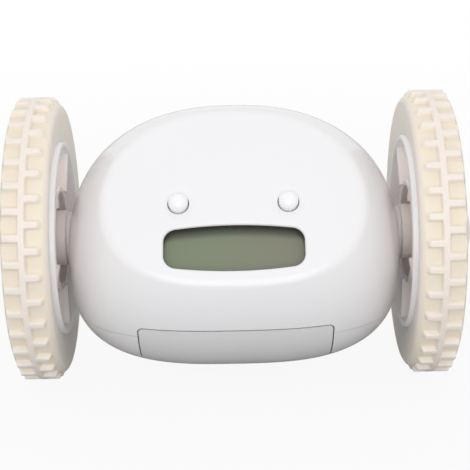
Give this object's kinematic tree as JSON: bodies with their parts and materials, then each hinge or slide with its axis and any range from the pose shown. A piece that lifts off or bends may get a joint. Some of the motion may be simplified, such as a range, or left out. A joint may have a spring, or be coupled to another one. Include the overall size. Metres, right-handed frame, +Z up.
{
  "type": "runaway alarm clock",
  "caption": "Two-wheeled runaway alarm clock: rounded white body with a tilted face, eye buttons and a mouth-shaped display, carried between large treaded wheels with their own drives.",
  "frame": {"origin": "on the floor, under the middle of the axle line", "axes": "+X along the axle to the right as seen from the front, -Y to the front, where the face looks, +Z up"},
  "size_m": [0.1492, 0.089, 0.089],
  "materials": {
    "white_shell": "glossy white moulded plastic",
    "cream_tyre": "satin cream soft rubber",
    "white_rim": "semi-gloss white moulded plastic",
    "button_white": "glossy white moulded plastic",
    "grey_control": "matte grey plastic",
    "display_glass": "blank greenish grey liquid crystal glass",
    "inner_plastic": "matte natural plastic",
    "gear_plastic": "milky acetal",
    "circuit_board": "green solder mask",
    "switch_black": "black plastic with a metal cap",
    "rubber_grey": "grey conductive rubber",
    "cell_can": "plain labelled can",
    "contact_steel": "bright nickel plate",
    "steel": "bright steel",
    "motor_steel": "zinc plated steel",
    "brass": "turned brass"
  },
  "bodies": {
    "case": {"axle_bushes": "brass", "base_tray": "white_shell", "battery_cell_1": "cell_can", "battery_cell_2": "cell_can", "battery_cell_3": "cell_can", "battery_cell_4": "cell_can", "battery_contacts": "contact_steel", "battery_springs": "contact_steel", "board_screws": "steel", "buzzer": "switch_black", "case_screws": "steel", "display_connectors": "rubber_grey", "display_frame": "inner_plastic", "display_glass": "display_glass", "eye_switches": "switch_black", "front_shell": "white_shell", "gear_pins": "steel", "gearbox_screws": "steel", "left_gearbox_inner_plate": "inner_plastic", "left_gearbox_outer_plate": "inner_plastic", "left_motor_can": "motor_steel", "left_motor_end_cap": "inner_plastic", "main_board": "circuit_board", "rear_board": "circuit_board", "rear_shell": "white_shell", "rear_switches": "switch_black", "right_gearbox_inner_plate": "inner_plastic", "right_gearbox_outer_plate": "inner_plastic", "right_motor_can": "motor_steel", "right_motor_end_cap": "inner_plastic"},
    "left_wheel": {"left_tyre": "cream_tyre", "left_rim": "white_rim", "left_hub_cap": "white_rim", "left_axle": "steel", "left_hub_screw": "steel", "left_output_gear": "gear_plastic"},
    "left_second_gear": {"left_second_gear": "gear_plastic"},
    "left_first_gear": {"left_first_gear": "gear_plastic"},
    "left_motor": {"left_motor_pinion": "brass", "left_motor_rotor": "steel"},
    "right_wheel": {"right_tyre": "cream_tyre", "right_rim": "white_rim", "right_hub_cap": "white_rim", "right_axle": "steel", "right_hub_screw": "steel", "right_output_gear": "gear_plastic"},
    "right_second_gear": {"right_second_gear": "gear_plastic"},
    "right_first_gear": {"right_first_gear": "gear_plastic"},
    "right_motor": {"right_motor_pinion": "brass", "right_motor_rotor": "steel"},
    "left_eye_button": {"left_eye_button": "button_white"},
    "right_eye_button": {"right_eye_button": "button_white"},
    "snooze_button": {"snooze_button": "button_white"},
    "time_button": {"time_button": "grey_control"},
    "alarm_button": {"alarm_button": "grey_control"},
    "mode_slider": {"mode_slider": "grey_control"},
    "battery_door": {"battery_door": "white_shell"}
  },
  "joints": [
    {"name": "left_wheel_spin", "type": "hinge", "parent": "case", "child": "left_wheel", "pos_m": [-0.06, 0, 0.0445], "axis": [1, 0, 0], "continuous": true},
    {"name": "left_second_gear_spin", "type": "hinge", "parent": "case", "child": "left_second_gear", "pos_m": [-0.035, 0.01175, 0.04877], "axis": [1, 0, 0], "continuous": true},
    {"name": "left_first_gear_spin", "type": "hinge", "parent": "case", "child": "left_first_gear", "pos_m": [-0.031, 0.01643, 0.03719], "axis": [1, 0, 0], "continuous": true},
    {"name": "left_motor_spin", "type": "hinge", "parent": "case", "child": "left_motor", "pos_m": [-0.015, 0.009, 0.03049], "axis": [1, 0, 0], "continuous": true},
    {"name": "right_wheel_spin", "type": "hinge", "parent": "case", "child": "right_wheel", "pos_m": [0.06, 0, 0.0445], "axis": [1, 0, 0], "continuous": true},
    {"name": "right_second_gear_spin", "type": "hinge", "parent": "case", "child": "right_second_gear", "pos_m": [0.035, 0.01175, 0.04877], "axis": [1, 0, 0], "continuous": true},
    {"name": "right_first_gear_spin", "type": "hinge", "parent": "case", "child": "right_first_gear", "pos_m": [0.031, 0.01643, 0.03719], "axis": [1, 0, 0], "continuous": true},
    {"name": "right_motor_spin", "type": "hinge", "parent": "case", "child": "right_motor", "pos_m": [0.015, 0.009, 0.03049], "axis": [1, 0, 0], "continuous": true},
    {"name": "left_eye_press", "type": "slide", "parent": "case", "child": "left_eye_button", "axis": [0, 0.7314, -0.682], "range_m": [0, 0.001], "stiffness_N_per_m": 250, "springref_m": -0.001},
    {"name": "right_eye_press", "type": "slide", "parent": "case", "child": "right_eye_button", "axis": [0, 0.7314, -0.682], "range_m": [0, 0.001], "stiffness_N_per_m": 250, "springref_m": -0.001},
    {"name": "snooze_press", "type": "slide", "parent": "case", "child": "snooze_button", "axis": [0, -0.8192, -0.5736], "range_m": [0, 0.0008], "stiffness_N_per_m": 400, "springref_m": -0.001},
    {"name": "time_press", "type": "slide", "parent": "case", "child": "time_button", "axis": [0, -0.8192, -0.5736], "range_m": [0, 0.0006], "stiffness_N_per_m": 400, "springref_m": -0.001},
    {"name": "alarm_press", "type": "slide", "parent": "case", "child": "alarm_button", "axis": [0, -0.8192, -0.5736], "range_m": [0, 0.0006], "stiffness_N_per_m": 400, "springref_m": -0.001},
    {"name": "mode_slide", "type": "slide", "parent": "case", "child": "mode_slider", "axis": [1, 0, 0], "range_m": [-0.002, 0.002]},
    {"name": "battery_door_lift", "type": "slide", "parent": "case", "child": "battery_door", "axis": [0, 0, -1], "range_m": [0, 0.035]}
  ],
  "couplings": [
    {"joint": "left_second_gear_spin", "follows": "left_wheel_spin", "ratio": -4},
    {"joint": "left_first_gear_spin", "follows": "left_wheel_spin", "ratio": 16},
    {"joint": "left_motor_spin", "follows": "left_wheel_spin", "ratio": -48},
    {"joint": "right_second_gear_spin", "follows": "right_wheel_spin", "ratio": -4},
    {"joint": "right_first_gear_spin", "follows": "right_wheel_spin", "ratio": 16},
    {"joint": "right_motor_spin", "follows": "right_wheel_spin", "ratio": -48}
  ]
}
